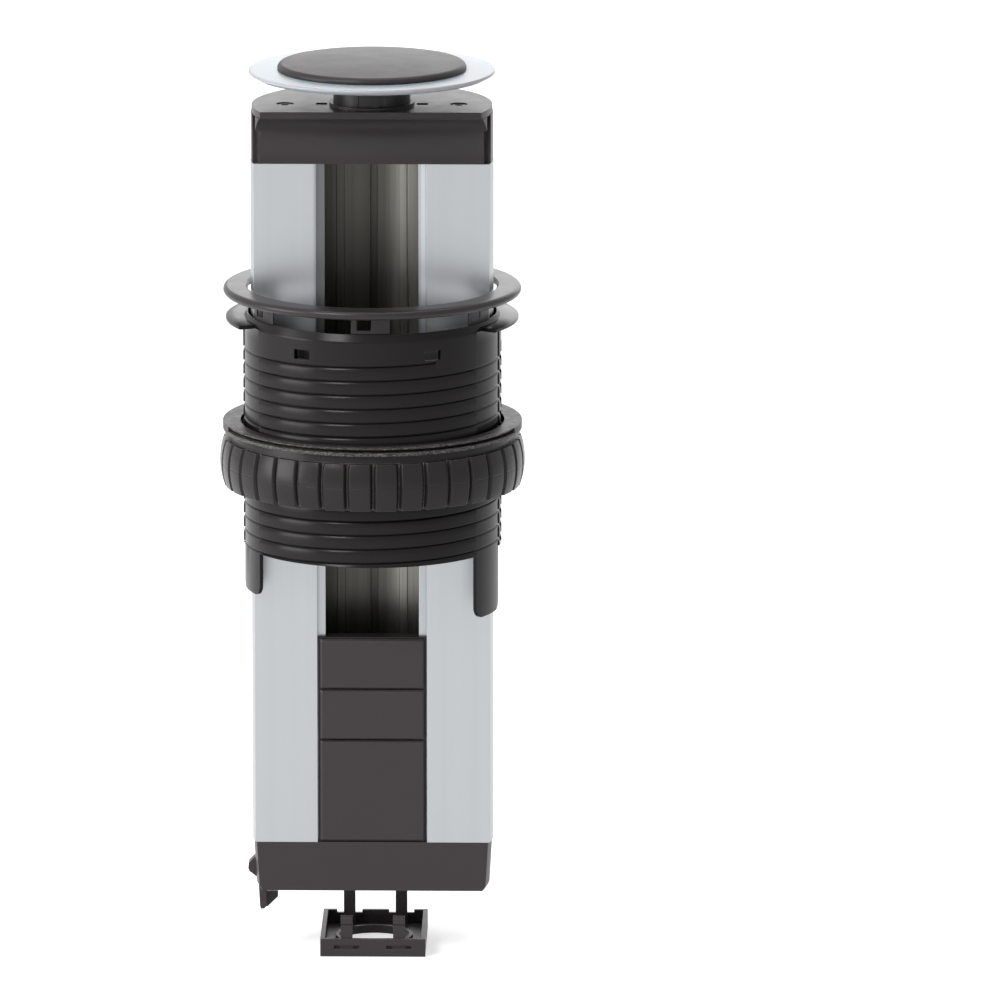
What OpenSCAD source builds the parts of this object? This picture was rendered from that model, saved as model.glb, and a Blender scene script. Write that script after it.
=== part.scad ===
// Pull-up desk socket tower: an aluminium profile with a module channel slides in a threaded tube,
// which a clamp nut fastens in a round desk cut-out. Z is up, the front is towards -Y, and z = 0 is
// the top of the desk, under the tube's flange. Bearings are degrees from the front towards +X.

/* [Mounting tube] */
// Gap between the profile and the tube around it
glide_gap = 1.2; // [0.9:0.05:1.5]
// Wall of the tube
tube_wall = 1.9; // [1.6:0.1:2.2]
// Depth of the tube below the desk top
tube_depth = 89.1; // [80:0.1:110]
// Height of the plain band above the thread
band_h = 7.5; // [6.5:0.5:8]
// Reach of the flange on the desk beyond the tube's radius
flange_reach = 6.7; // [5.5:0.1:7.5]
// Thickness of the flange
flange_t = 1.5; // [1:0.1:2]
// Half angle of the gap in the flange at the front
flange_gap = 60; // [40:1:70]
// Height of the bevelled rim above the desk
rim_h = 3; // [2.5:0.1:3.4]
// Pitch of the thread
pitch = 5.55; // [5:0.05:6.5]
// Depth of the thread groove
groove_depth = 0.9; // [0.7:0.05:1]
// Width of the thread groove at its mouth
groove_mouth = 2.1; // [1.8:0.1:2.4]
// Width of the thread groove at its root
groove_root = 0.9; // [0.6:0.1:1.4]
// Turns of the thread
thread_turns = 14; // [10:1:14]
// Length of the left leg below the tube
left_leg = 17; // [10:0.5:24]
// Length of the right leg below the tube
right_leg = 25; // [10:0.5:34]

/* [Trim ring] */
// Reach of the trim ring beyond the tube's radius
trim_reach = 7.7; // [6.5:0.1:10]
// Thickness of the trim ring
trim_t = 3.5; // [3:0.1:5]
// Height of the raised trim ring above the desk
trim_lift = 10.1; // [8:0.1:14]
// Width of a clip leg
clip_w = 15; // [10:0.5:18]

/* [Clamp] */
// Height of the pressure ring's top below the desk top
clamp_drop = 40.3; // [34:0.1:50]
// Reach of the pressure ring beyond the tube's radius
washer_reach = 8; // [6.5:0.1:9.5]
// Height of the pressure ring
washer_h = 4.1; // [3.6:0.1:5]
// Height of the collar on the nut
collar_h = 1.6; // [1.2:0.1:2.4]
// Height of the nut's grips
nut_h = 18.5; // [16:0.5:20]
// Reach of the grips beyond the tube's radius at mid height
nut_reach = 9.2; // [8:0.1:11.5]
// Number of grips around the nut
grips = 36; // [24:1:40]
// Width of the gap between two grips
grip_gap = 2; // [1.4:0.1:2.6]

/* [Tower profile] */
// Outer radius of the profile
profile_r = 47.4; // [44:0.1:52]
// Length of the profile
profile_len = 271; // [220:1:320]
// Height of the profile's top above the desk
tower_rise = 63.1; // [50:0.1:80]
// Distance of the flat front from the axis
front_y = 11.6; // [9:0.1:13]
// Wall of the profile
profile_wall = 2.2; // [1.8:0.1:2.6]
// Width of the module channel
channel_w = 43; // [41:0.5:45]
// Width of a rail beside the channel's opening
rail_w = 3.2; // [2.4:0.1:4]
// Depth of the module channel behind the flat front
channel_depth = 38; // [32:0.5:42]

/* [Head and lid] */
// Height of the grip block
head_h = 19.1; // [16:0.1:24]
// Thickness of the top plate
plate_t = 2.6; // [2:0.1:4]
// Distance of the top plate's front edge from the axis
brow_y = 18.7; // [16:0.1:22]
// Radius of the lid's stem
stem_r = 15; // [12:0.5:16]
// Height of the stem that shows above the top plate
stem_show = 11.3; // [9:0.1:16]
// Travel of the lid when it is pressed
lid_travel = 2.5; // [1.5:0.1:3]
// Reach of the light ring beyond the profile
glow_reach = 0.6; // [0:0.1:0.8]
// Thickness of the light ring
glow_t = 2.6; // [2:0.1:3.5]
// Radius of the dark cap
cap_r = 36.8; // [30:0.1:42]
// Thickness of the cap at its rim
cap_t = 2.6; // [2.4:0.1:4]
// Rise of the cap's dome
cap_dome = 1.6; // [0.8:0.1:3]

/* [Blank modules] */
// Height of one half-size blank
blank_h = 20.4; // [18:0.1:24]
// Width of the rail that shows beside a blank
blank_inset = 1.05; // [0.6:0.05:1.5]

/* [Base and cable tray] */
// Height of the base block
base_h = 19.6; // [18:0.1:26]
// Taper of the base block's radius
base_taper = 1; // [0.5:0.1:2]
// Width of the cable tray
tray_w = 41.4; // [38:0.1:43]
// Depth of the cable tray from front to back
tray_depth = 50; // [46:0.5:52]
// Height of the tray's walls
tray_h = 7.1; // [6:0.1:10]
// Gap between the base and the lowered tray
tray_drop = 19.9; // [14:0.1:24]
// Radius of the cable hole
cable_r = 13.75; // [10:0.25:14]
// Wall of the tray
tray_wall = 1.8; // [1.4:0.1:2.2]

/* [Hidden] */
$fn = 96;

// Overcut, sliding clearance and running clearance
cut = 0.5;
slip = 0.3;
run = 0.06;

dark = [0.24, 0.23, 0.23];
silver = [0.76, 0.78, 0.79];

// Radii that follow from the tube and the profile
bore_r = profile_r + glide_gap;
tube_r = bore_r + tube_wall;
thread_r = tube_r - slip;
flange_r = tube_r + flange_reach;
trim_r = tube_r + trim_reach;
trim_bore = bore_r + slip / 2;
washer_r = tube_r + washer_reach;
washer_bore = tube_r + 1.1;
nut_r = tube_r + nut_reach;
nut_bore = tube_r + slip / 2;
rib_r = profile_r + slip;
glow_r = profile_r + glow_reach;

// Widths that follow from the channel
rail_gap = channel_w - 2 * rail_w;
blank_w = channel_w - 2 * blank_inset;

// Levels that follow from the lengths
tube_z = -tube_depth;
washer_z = -clamp_drop - washer_h;
nut_top = washer_z - collar_h;
nut_z = nut_top - nut_h;
thread_z = -band_h - 2.3;
profile_z = tower_rise - profile_len;
plate_z = tower_rise + head_h;
head_z = plate_z + plate_t;
glow_z = head_z + stem_show;
cap_z = glow_z + glow_t;
base_z = profile_z - base_h;
tray_top = base_z - tray_drop;
tray_z = tray_top - tray_h;

// Bearings of the side strips, the clips and the keyways
strip_from = 58;
strip_to = 84.5;
clip_bearings = [-60, 0, 60];
keyway_w = 6;
key_r = tube_r - 1.15;

// Screw ports of the profile
head_port = [profile_r - 13.6, 0];
base_port_a = 35.4;
base_port = (profile_r - 9.4) * [cos(base_port_a), sin(base_port_a)];
port_r = 2.05;
port_wall = 1.9;
screw_head_r = 3.2;
screw_grip = 11;
screw_sink = 6;

// Latch lever
latch_x = -profile_r + 4.4;
latch_w = 6;
latch_tip = bore_r + 0.6;
latch_pin_r = 1.5;
latch_pivot_z = profile_z - 4.2;
bump_top = profile_z - 6.7;
bump_h = 10;
tail_drop = 9.6;

// Cable tray
tray_front = -front_y + 1.2;
arm_x = 10.3;
arm_w = 4.6;
arm_t = 2;
front_arm_top = tray_top + 9;
rear_arm_top = base_z + 8;

// A wedge of the plane between two bearings
module wedge(from, to, reach = 90) {
    steps = max(2, ceil((to - from) / 30));
    polygon(concat(
        [[0, 0]],
        [for (i = [0 : steps])
            let (a = from + (to - from) * i / steps)
            [reach * sin(a), -reach * cos(a)]]
    ));
}

// A tube wall between two radii and two levels
module wall_ring(inner, outer, low, high) {
    translate([0, 0, low]) difference() {
        cylinder(r = outer, h = high - low);
        translate([0, 0, -cut]) cylinder(r = inner, h = high - low + 2 * cut);
    }
}

// A part of a tube wall between two bearings
module wall_sector(inner, outer, low, high, from, to) {
    translate([0, 0, low]) linear_extrude(high - low) intersection() {
        difference() {
            circle(r = outer);
            circle(r = inner);
        }
        wedge(from, to);
    }
}

// A box from its low corner to its high corner
module box(low, high) {
    translate(low) cube(high - low);
}

// A circle with a straight front
module d_shape(radius, front) {
    intersection() {
        circle(r = radius);
        translate([-radius, -front]) square([2 * radius, radius + front]);
    }
}

module both_sides() {
    children();
    mirror([1, 0, 0]) children();
}

// Mounting tube

// Half a turn of the thread groove: a flat cut, level at the front and tilted to the helix
module groove_half(width, depth, turn_from, turn_to) {
    tilt = atan(pitch / 4 / thread_r);
    reach = flange_r + 5;
    intersection() {
        wall_ring(thread_r - depth, reach - 1, -pitch, pitch);
        rotate([0, -tilt, 0])
            box([-reach * turn_from, -reach, -width / 2], [reach * turn_to, -keyway_w / 3, width / 2]);
    }
}

// The thread groove has a narrow root and a wider mouth
module thread_groove(width, depth) {
    run_out = 0.45;
    for (k = [0 : thread_turns - 1]) {
        translate([0, 0, thread_z - k * pitch]) groove_half(width, depth, 1, k == 0 ? run_out : 1);
        translate([0, 0, thread_z - (k + 0.5) * pitch]) rotate([0, 0, 180]) groove_half(width, depth, 1, 1);
    }
}

// The end of a leg is round, seen from outside
module leg(side, length) {
    from = side > 0 ? strip_from : -strip_to;
    to = side > 0 ? strip_to : -strip_from;
    half = thread_r * sin((to - from) / 2) + 0.2;
    low = tube_z - length;
    round_h = 9;
    intersection() {
        wall_sector(bore_r - cut, thread_r, low, tube_z + cut, from, to);
        rotate([0, 0, (from + to) / 2]) rotate([90, 0, 0]) linear_extrude(tube_r + 1) polygon(concat(
            [for (i = [0 : 8]) let (a = i * 22.5) [-half * cos(a), low + round_h * (1 - sin(a))]],
            [[half, tube_z + 1], [-half, tube_z + 1]]
        ));
    }
}

module mounting_tube() {
    rim_r = bore_r + 0.4;
    window_w = 6.5;
    window_z = [-band_h + 0.3, -band_h + 3.9];
    pocket_r = bore_r + 1.1;
    color(dark) difference() {
        union() {
            translate([0, 0, tube_z]) cylinder(r = thread_r, h = tube_depth - band_h);
            translate([0, 0, -band_h]) cylinder(r = tube_r, h = band_h);
            cylinder(r1 = tube_r, r2 = rim_r, h = rim_h);
            linear_extrude(flange_t) difference() {
                circle(r = flange_r);
                wedge(-flange_gap, flange_gap);
            }
            leg(-1, left_leg);
            leg(1, right_leg);
        }
        translate([0, 0, tube_z - right_leg - left_leg]) cylinder(r = bore_r, h = 2 * tube_depth);
        thread_groove(groove_root, groove_depth);
        thread_groove(groove_mouth, groove_depth / 2);
        // Keyways guide the pressure ring and part the two halves of the thread
        for (side = [-1, 1])
            box([side * (tube_r + cut) + (side < 0 ? 0 : -cut - tube_r + key_r), -keyway_w / 2, tube_z - cut],
                [side * (tube_r + cut) + (side < 0 ? cut + tube_r - key_r : 0), keyway_w / 2, thread_z + 1]);
        for (a = [-30, 30])
            rotate([0, 0, a]) box([-window_w / 2, -tube_r - 1, window_z[0]], [window_w / 2, -bore_r / 2, window_z[1]]);
        for (a = clip_bearings)
            wall_sector(bore_r - 1, pocket_r, -clip_down, rim_h + cut, a - clip_half - 1, a + clip_half + 1);
        for (a = [-strip_to, -strip_from, strip_from, strip_to])
            rotate([0, 0, a]) box([-0.2, -tube_r - 1, tube_z - cut], [0.2, -thread_r + 0.3, -0.6]);
    }
    // Glide ribs that guide the profile
    color(dark) for (a = [105, 145, 180, 215, 255])
        wall_sector(rib_r, bore_r + cut, tube_z + 4, -clip_down - 1, a - 3, a + 3);
}

// Trim ring

clip_t = 1;
clip_half = asin(clip_w / 2 / bore_r);
clip_len = trim_lift + 3;
clip_down = clip_len + 1;

module clip(bearing) {
    window_w = 5.6;
    window_h = 4.6;
    rotate([0, 0, bearing]) difference() {
        wall_sector(bore_r - 0.25, bore_r - 0.25 + clip_t, trim_lift - clip_len, trim_lift + cut,
            -clip_half, clip_half);
        box([-clip_w / 2 + 2.2, -tube_r, trim_lift - window_h - 3.2],
            [-clip_w / 2 + 2.2 + window_w, -bore_r / 2, trim_lift - 3.2]);
    }
}

module trim_ring() {
    edge = trim_t / 2;
    rebate_h = rim_h - flange_t + slip;
    color(dark) {
        translate([0, 0, trim_lift]) rotate_extrude(angle = 360) difference() {
            union() {
                translate([trim_bore, 0]) square([trim_r - edge - trim_bore, trim_t]);
                translate([trim_r - edge, edge]) circle(r = edge, $fn = 32);
            }
            translate([trim_bore - cut, -cut]) square([tube_r + slip - trim_bore + cut, cut + rebate_h]);
            polygon([[trim_bore - cut, trim_t - 0.8 - cut], [trim_bore - cut, trim_t + cut],
                [trim_bore + 0.8 + cut, trim_t + cut]]);
        }
        for (a = clip_bearings) clip(a);
        // The clips hang from the underside of the ring's lip
        for (a = clip_bearings)
            wall_sector(trim_bore, bore_r - 0.25 + clip_t, trim_lift - 0.2, trim_lift + rebate_h + 0.2,
                a - clip_half, a + clip_half);
    }
}

// Pressure ring

module pressure_ring() {
    flange_h = 1.1;
    lower_h = 1.6;
    front_half = 73;
    top = -clamp_drop;
    tab_w = keyway_w - 2 * slip;
    color(dark) {
        difference() {
            wall_ring(washer_bore, washer_r, washer_z, top);
            wall_sector(washer_bore + 2.6, washer_r + 1, washer_z + lower_h, top - flange_h,
                -front_half, front_half);
            wall_sector(washer_r - 0.7, washer_r + 1, top - flange_h - cut, top + cut,
                -front_half, front_half);
        }
        both_sides() box([key_r + slip, -tab_w / 2, washer_z], [washer_bore + 1, tab_w / 2, top]);
    }
}

// Clamp nut

module barrel_section() {
    bulge = 1.5;
    half = nut_h / 2;
    arc_r = (half * half + bulge * bulge) / (2 * bulge);
    intersection() {
        translate([nut_bore, nut_z]) square([nut_r - nut_bore, nut_h]);
        translate([nut_r - arc_r, nut_z + half]) circle(r = arc_r, $fn = 128);
    }
}

module clamp_nut() {
    core_r = nut_r - 2.9;
    collar_r = nut_r - 3.5;
    line = 0.25;
    lug_tip = thread_r - groove_depth / 2 + 0.1;
    lug_level = floor((nut_z + nut_h / 2 - thread_z) / pitch) * pitch + thread_z;
    color(dark) {
        difference() {
            rotate_extrude(angle = 360) barrel_section();
            for (i = [0 : grips - 1]) rotate([0, 0, (i + 0.5) * 360 / grips])
                box([-grip_gap / 2, -nut_r - 1, nut_z - cut], [grip_gap / 2, -core_r, nut_top + cut]);
            wall_ring(nut_r - line, nut_r + 1, nut_z + nut_h / 2 - line, nut_z + nut_h / 2 + line);
        }
        wall_ring(nut_bore, collar_r, nut_top - cut, washer_z);
        // Three lugs ride in the thread groove
        for (turn = [-1, 0, 1])
            translate([0, 0, lug_level + turn * pitch / 3]) rotate([0, 0, turn * 120 - 90 - 4])
                rotate_extrude(angle = 8) polygon([
                    [lug_tip, -0.25], [nut_bore + 0.3, -0.45], [nut_bore + 0.3, 0.45], [lug_tip, 0.25]
                ]);
    }
}

// Tower profile

rail_depth = 3;
rail_t = 2;

// Ribs on the channel floor
floor_ribs = [-13, 11.5];
floor_rib_w = 3;
floor_rib_h = 1.6;

// The module channel with its rails, as a cut
module channel_cut() {
    floor_y = -front_y + channel_depth;
    translate([-channel_w / 2, -front_y - cut]) square([channel_w, rail_depth + cut]);
    translate([-rail_gap / 2, -front_y]) square([rail_gap, channel_depth]);
    translate([-channel_w / 2, -front_y + rail_depth + rail_t])
        square([channel_w, channel_depth - rail_depth - rail_t]);
    // Slot in the middle of the floor
    translate([-1.4, floor_y - cut]) square([2.8, 4 + cut]);
    translate([-3.4, floor_y + 2]) square([6.8, 3]);
}

module port(at) {
    translate(at) circle(r = port_r + port_wall);
    translate([channel_w / 2, at[1] - 0.9])
        square([sqrt(pow(profile_r - 1, 2) - pow(at[1], 2)) - channel_w / 2, 1.8]);
}

module profile_section() {
    inner = profile_r - profile_wall;
    floor_y = -front_y + channel_depth;
    difference() {
        union() {
            difference() {
                d_shape(profile_r, front_y);
                // Hollow chambers beside and behind the channel
                both_sides() intersection() {
                    circle(r = inner);
                    translate([channel_w / 2 + profile_wall, -front_y + profile_wall])
                        square([inner, floor_y + front_y]);
                }
                intersection() {
                    circle(r = inner);
                    translate([-channel_w / 2, floor_y + 6.5]) square([channel_w, inner]);
                }
            }
            both_sides() {
                port(head_port);
                port(base_port);
            }
        }
        channel_cut();
        both_sides() {
            translate(head_port) circle(r = port_r);
            translate(base_port) circle(r = port_r);
        }
    }
    for (x = floor_ribs)
        translate([x - floor_rib_w / 2, floor_y - floor_rib_h]) square([floor_rib_w, floor_rib_h + cut]);
}

module profile() {
    color(silver) translate([0, 0, profile_z]) linear_extrude(profile_len) profile_section();
}

// Head

module scoop() {
    // Round cut through the brow's lower edge and the profile's front edge
    scoop_r = 20;
    drop = head_h;
    back = brow_y - front_y;
    chord = sqrt(drop * drop + back * back);
    reach = sqrt(scoop_r * scoop_r - chord * chord / 4);
    y = -(brow_y + front_y) / 2 - reach * drop / chord;
    z = tower_rise + drop / 2 - reach * back / chord;
    translate([-profile_r - 5, y, z]) rotate([0, 90, 0]) cylinder(r = scoop_r, h = 2 * profile_r + 10);
}

// The stem steps down to a spigot, which runs through a spring well behind the scoop
spigot_r = 7;
well_r = spigot_r + 2.8;
well_z = tower_rise + 5;
stem_foot = plate_z + plate_t - 0.8;
retainer_t = 1;
clip_seat = tower_rise + 2;

// Square holes of the top plate, which end in the grip block
hole_x = 19.6;
hole_w = 4.3;
hole_depth = 3;

module square_hole(low, high) {
    box([hole_x - hole_w / 2, -hole_w / 2, low], [hole_x + hole_w / 2, hole_w / 2, high]);
}

module head_block() {
    grip_groove = 5.6;
    color(dark) difference() {
        translate([0, 0, tower_rise]) linear_extrude(head_h) d_shape(profile_r - 0.2, brow_y);
        scoop();
        translate([0, 0, well_z]) cylinder(r = well_r, h = head_h);
        translate([0, 0, tower_rise - cut]) cylinder(r = spigot_r + run, h = head_h);
        translate([0, 0, tower_rise - cut]) cylinder(r = spigot_r + 2.4, h = clip_seat - tower_rise + cut);
        translate([0, 0, stem_foot - lid_travel - 0.2]) cylinder(r = stem_r + slip, h = head_h);
        both_sides() {
            translate([head_port[0], head_port[1], tower_rise - cut]) cylinder(r = port_r, h = head_h + 2 * cut);
            rotate([0, 0, 76]) box([-grip_groove / 2, -profile_r - 1, tower_rise - cut],
                [grip_groove / 2, -profile_r + 2.2, plate_z + cut]);
            square_hole(plate_z - hole_depth, plate_z + cut);
        }
    }
}

module top_plate() {
    lip_h = 1.1;
    color(dark) difference() {
        union() {
            translate([0, 0, plate_z]) linear_extrude(plate_t) d_shape(profile_r - 0.5, brow_y);
            translate([0, 0, head_z - cut]) cylinder(r = stem_r + 1.6, h = lip_h + cut);
        }
        translate([0, 0, plate_z - cut]) cylinder(r = stem_r + run, h = plate_t + lip_h + 2 * cut);
        both_sides() {
            translate([head_port[0], head_port[1], plate_z - cut])
                cylinder(r = screw_head_r + 0.2, h = plate_t + 2 * cut);
            square_hole(plate_z - cut, head_z + cut);
        }
    }
}

// A socket-head screw, head up, with its seat at z = 0
module screw(shank) {
    head_h = 2.2;
    difference() {
        union() {
            cylinder(r = screw_head_r, h = head_h);
            translate([0, 0, -shank]) cylinder(r = port_r - 0.05, h = shank);
        }
        translate([0, 0, head_h - 1.3]) cylinder(r = 1.7, h = 2, $fn = 6);
    }
}

module head_screws() {
    color("silver") both_sides()
        translate([head_port[0], head_port[1], plate_z]) screw(head_h + screw_grip);
}

// Lid

module lid_stem() {
    neck_z = clip_seat - retainer_t - 0.1;
    color(dark) difference() {
        union() {
            translate([0, 0, stem_foot]) cylinder(r = stem_r, h = glow_z - stem_foot);
            translate([0, 0, neck_z - 0.6]) cylinder(r = spigot_r, h = glow_z - neck_z);
            translate([0, 0, glow_z - cut]) cylinder(r = stem_r - 3.1, h = glow_t + cut);
            translate([0, 0, glow_z - 1.4]) cylinder(r = stem_r + 1.2, h = 1.4);
        }
        // Groove of the retaining clip
        wall_ring(spigot_r - 1, spigot_r + 1, neck_z, clip_seat - 0.05);
        // Seam and flat on the stem
        box([-4.9, -stem_r - 1, head_z + 1.3], [-4.5, -stem_r + 1.4, glow_z - 1.4]);
        box([3.4, -stem_r - 1, head_z + 1.3], [9, -stem_r + 1.2, glow_z - 1.4]);
    }
}

// An open ring in the spigot's groove holds the stem against the spring
module stem_clip() {
    color("silver") translate([0, 0, clip_seat - retainer_t - 0.07]) linear_extrude(retainer_t) difference() {
        circle(r = spigot_r + 1.8);
        circle(r = spigot_r - 0.95);
        wedge(150, 210);
    }
}

module light_ring() {
    edge = 1;
    color([0.85, 0.9, 0.94, 0.8]) translate([0, 0, glow_z]) rotate_extrude(angle = 360) polygon([
        [stem_r - 3, 0], [glow_r - 2.4, 0], [glow_r, glow_t - edge], [glow_r, glow_t - edge + 0.5],
        [glow_r - 0.8, glow_t], [stem_r - 3, glow_t]
    ]);
}

module lid_cap() {
    edge = 1.2;
    flat_r = cap_r - edge;
    steps = 8;
    dome = [for (i = [0 : steps - 1]) let (t = i / steps) [flat_r * t, cap_t + cap_dome * (1 - t * t)]];
    rim = [for (i = [0 : 6]) let (a = 90 - i * 30) [flat_r + edge * cos(a),
        (a > 0 ? cap_t - edge : edge) + (a == 0 ? cap_t / 2 - edge : edge * sin(a))]];
    color(dark) translate([0, 0, cap_z]) rotate_extrude(angle = 360) polygon(concat([[0, 0]], dome, rim));
}

// A point of a coil, on its wire's section
function coil_point(r, wire, height, turns, t, a) =
    let (turn = 360 * turns * t, out = r + wire * cos(a))
    [out * cos(turn), out * sin(turn), wire + (height - 2 * wire) * t + wire * sin(a)];

// A coil spring as one swept wire
module coil(r, wire, height, turns) {
    sides = 6;
    rings = turns * 14;
    points = [for (i = [0 : rings]) for (j = [0 : sides - 1])
        coil_point(r, wire, height, turns, i / rings, 360 * j / sides)];
    skin = [for (i = [0 : rings - 1]) for (j = [0 : sides - 1])
        let (a = i * sides + j, b = i * sides + (j + 1) % sides)
        each [[a, b, b + sides], [a, b + sides, a + sides]]];
    first = [for (j = [0 : sides - 1]) sides - 1 - j];
    last = [for (j = [0 : sides - 1]) rings * sides + j];
    polyhedron(points, concat(skin, [first], [last]));
}

spring_wire = 0.6;
spring_r = (spigot_r + well_r) / 2;

module lid_spring() {
    color("silver") translate([0, 0, well_z]) coil(spring_r, spring_wire, stem_foot - well_z, 5);
}

// Blank modules

frame_top = profile_z + 4 * blank_h + 0.8;
frame_front = -front_y + 0.9;
frame_depth = 8;
frame_wall = 1.6;

module module_frame() {
    width = channel_w - 2 * slip;
    inner = rail_gap - 2 * slip;
    hook = 0.9;
    hook_h = 6;
    hook_inset = 12;
    low = profile_z + 0.1;
    back = -front_y + frame_depth;
    color(dark) difference() {
        union() {
            box([-width / 2, frame_front, low], [width / 2, -front_y + rail_depth - 0.1, frame_top]);
            box([-inner / 2, frame_front, low], [inner / 2, back, frame_top]);
            // Snap hooks behind the rails
            for (z = [profile_z + hook_inset, frame_top - hook_inset])
                both_sides() box([inner / 2 - hook, -front_y + rail_depth + rail_t + 0.1, z - hook_h / 2],
                    [inner / 2 + hook, back, z + hook_h / 2]);
        }
        box([-inner / 2 + frame_wall, frame_front - cut, low + frame_wall],
            [inner / 2 - frame_wall, back + cut, frame_top - frame_wall]);
    }
}

// A blanking plate of a number of half units, from a level up
module blank(level, units) {
    height = units * blank_h;
    gap = 0.4;
    bevel = 0.5;
    leg_h = 8;
    leg_reach = 6;
    leg_t = 1.5;
    back = frame_front;
    front = -front_y - 0.5;
    inner = rail_gap - 2 * slip - 2 * frame_wall;
    translate([0, 0, level]) {
        difference() {
            box([-blank_w / 2, front, gap], [blank_w / 2, back, height]);
            // Bevels along the plate's edges
            both_sides() translate([blank_w / 2, front, 0]) rotate([0, 0, 45])
                box([-bevel, -bevel, -1], [bevel, bevel, height + 1]);
            for (z = [gap, height]) translate([0, front, z]) rotate([45, 0, 0])
                box([-blank_w, -bevel, -bevel], [blank_w, bevel, bevel]);
        }
        // Snap legs inside the frame
        both_sides() box([inner / 2 - leg_t - 0.1, back - 0.2, (height - leg_h) / 2],
            [inner / 2 - 0.1, back + leg_reach, (height + leg_h) / 2]);
    }
}

module upper_blank() { color(dark) blank(profile_z + 3 * blank_h + 0.2, 1); }
module middle_blank() { color(dark) blank(profile_z + 2 * blank_h + 0.2, 1); }
module lower_blank() { color(dark) blank(profile_z + 0.2, 2); }

// Base block

base_r = profile_r - 0.5;
passage_w = 34;
passage_y = [-4, 24];
pocket_w = latch_w + 2 * slip;
pocket_depth = 6.4;
pocket_x = [-profile_r - cut, latch_x + pocket_depth];

module latch_pin_hole(radius, half) {
    translate([latch_x, half, latch_pivot_z]) rotate([90, 0, 0]) cylinder(r = radius, h = 2 * half);
}

module base_block() {
    foot = 2;
    low_r = base_r - base_taper;
    color(dark) difference() {
        intersection() {
            union() {
                translate([0, 0, base_z + foot]) cylinder(r1 = low_r, r2 = base_r, h = base_h - foot);
                translate([0, 0, base_z]) cylinder(r1 = low_r - 1.2, r2 = low_r, h = foot);
            }
            box([-profile_r, -front_y, base_z - 1], [profile_r, profile_r, profile_z + 1]);
        }
        // Passage for the cables from the channel to the tray
        box([-passage_w / 2, passage_y[0], base_z - cut], [passage_w / 2, passage_y[1], profile_z + cut]);
        // Pocket of the latch lever
        box([pocket_x[0], -pocket_w / 2, base_z - cut], [pocket_x[1], pocket_w / 2, profile_z + cut]);
        latch_pin_hole(latch_pin_r + 0.03, 7);
        both_sides() {
            // Screws into the profile's rear ports
            translate([base_port[0], base_port[1], base_z - cut]) cylinder(r = port_r, h = base_h + 2 * cut);
            translate([base_port[0], base_port[1], base_z - cut]) cylinder(r = screw_head_r + 0.2, h = screw_sink + cut);
            // Sockets of the tray's arms
            box([arm_x - arm_w / 2 - slip, rear_arm_y - slip, base_z - cut],
                [arm_x + arm_w / 2 + slip, rear_arm_y + arm_t + slip, profile_z + cut]);
            box([arm_x - arm_w / 2 - slip, rear_arm_y - slip, base_z + 4],
                [arm_x + arm_w / 2 + slip, rear_arm_y + arm_t + 1.2 + slip, profile_z + cut]);
            box([arm_x - arm_w / 2 - slip, front_arm_y - 0.8 - slip, base_z - cut],
                [arm_x + arm_w / 2 + slip, front_arm_y + arm_t + slip, base_z + 10]);
        }
    }
}

module base_screws() {
    color("silver") both_sides() translate([base_port[0], base_port[1], base_z + screw_sink])
        mirror([0, 0, 1]) screw(base_h - screw_sink + screw_grip);
}

module latch_lever() {
    half = latch_w / 2;
    bar = 2.2;
    tail_z = base_z - tail_drop;
    web_top = base_z - 3.6;
    color(dark) difference() {
        union() {
            latch_hub();
            // Bar with its two-way ramp, and the tail with its web
            translate([0, half, 0]) rotate([90, 0, 0]) linear_extrude(latch_w) polygon([
                [latch_x + 1, latch_pivot_z], [latch_x + 1, tail_z + 1], [latch_x, tail_z],
                [latch_x - bar + 1, tail_z], [latch_x - bar + 0.6, tail_z + 1],
                [latch_x - bar, bump_top - bump_h], [-latch_tip + 0.4, bump_top - 0.72 * bump_h],
                [-latch_tip, bump_top - 0.6 * bump_h], [-latch_tip + 0.2, bump_top - 0.4 * bump_h],
                [latch_x - bar, bump_top], [latch_x - bar, latch_pivot_z]
            ]);
            translate([0, half, 0]) rotate([90, 0, 0]) linear_extrude(1.8) polygon([
                [latch_x, web_top], [latch_x + 5.4, web_top], [latch_x + 5.4, tail_z + 4],
                [latch_x + 1.4, tail_z], [latch_x, tail_z]
            ]);
        }
        latch_pin_hole(latch_pin_r + run, latch_w);
    }
}

module latch_hub() {
    translate([latch_x, latch_w / 2, latch_pivot_z]) rotate([90, 0, 0])
        cylinder(r = latch_pin_r + 1.4, h = latch_w);
}

module latch_pin() {
    color("silver") latch_pin_hole(latch_pin_r, 6.5);
}

// A flat spring folded in the pocket behind the lever
module latch_spring() {
    leaf = 0.4;
    low = base_z + 2;
    wall = pocket_x[1];
    color("silver") translate([0, 2, 0]) rotate([90, 0, 0]) linear_extrude(4) polygon([
        [wall, low + 11], [wall, low], [wall - leaf, low], [wall - leaf, low + 10],
        [wall - 1.2, low + 10.4], [wall - 1.2, low + 11]
    ]);
}

// Cable tray

rear_arm_y = tray_front + tray_depth - 4;
front_arm_y = tray_front + 1;

module tray_arm(y, low, top, head, thick) {
    box([arm_x - arm_w / 2, y, low], [arm_x + arm_w / 2, y + arm_t, top]);
    translate([arm_x - arm_w / 2, y, top]) rotate([0, 90, 0]) linear_extrude(arm_w)
        polygon(thick > 0
            ? [[0, 0], [0, arm_t], [1, arm_t + head], [3, arm_t + head], [3.6, arm_t], [3.6, 0]]
            : [[0, arm_t], [0, 0], [1, -head], [3, -head], [3.6, 0], [3.6, arm_t]]);
}

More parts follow.
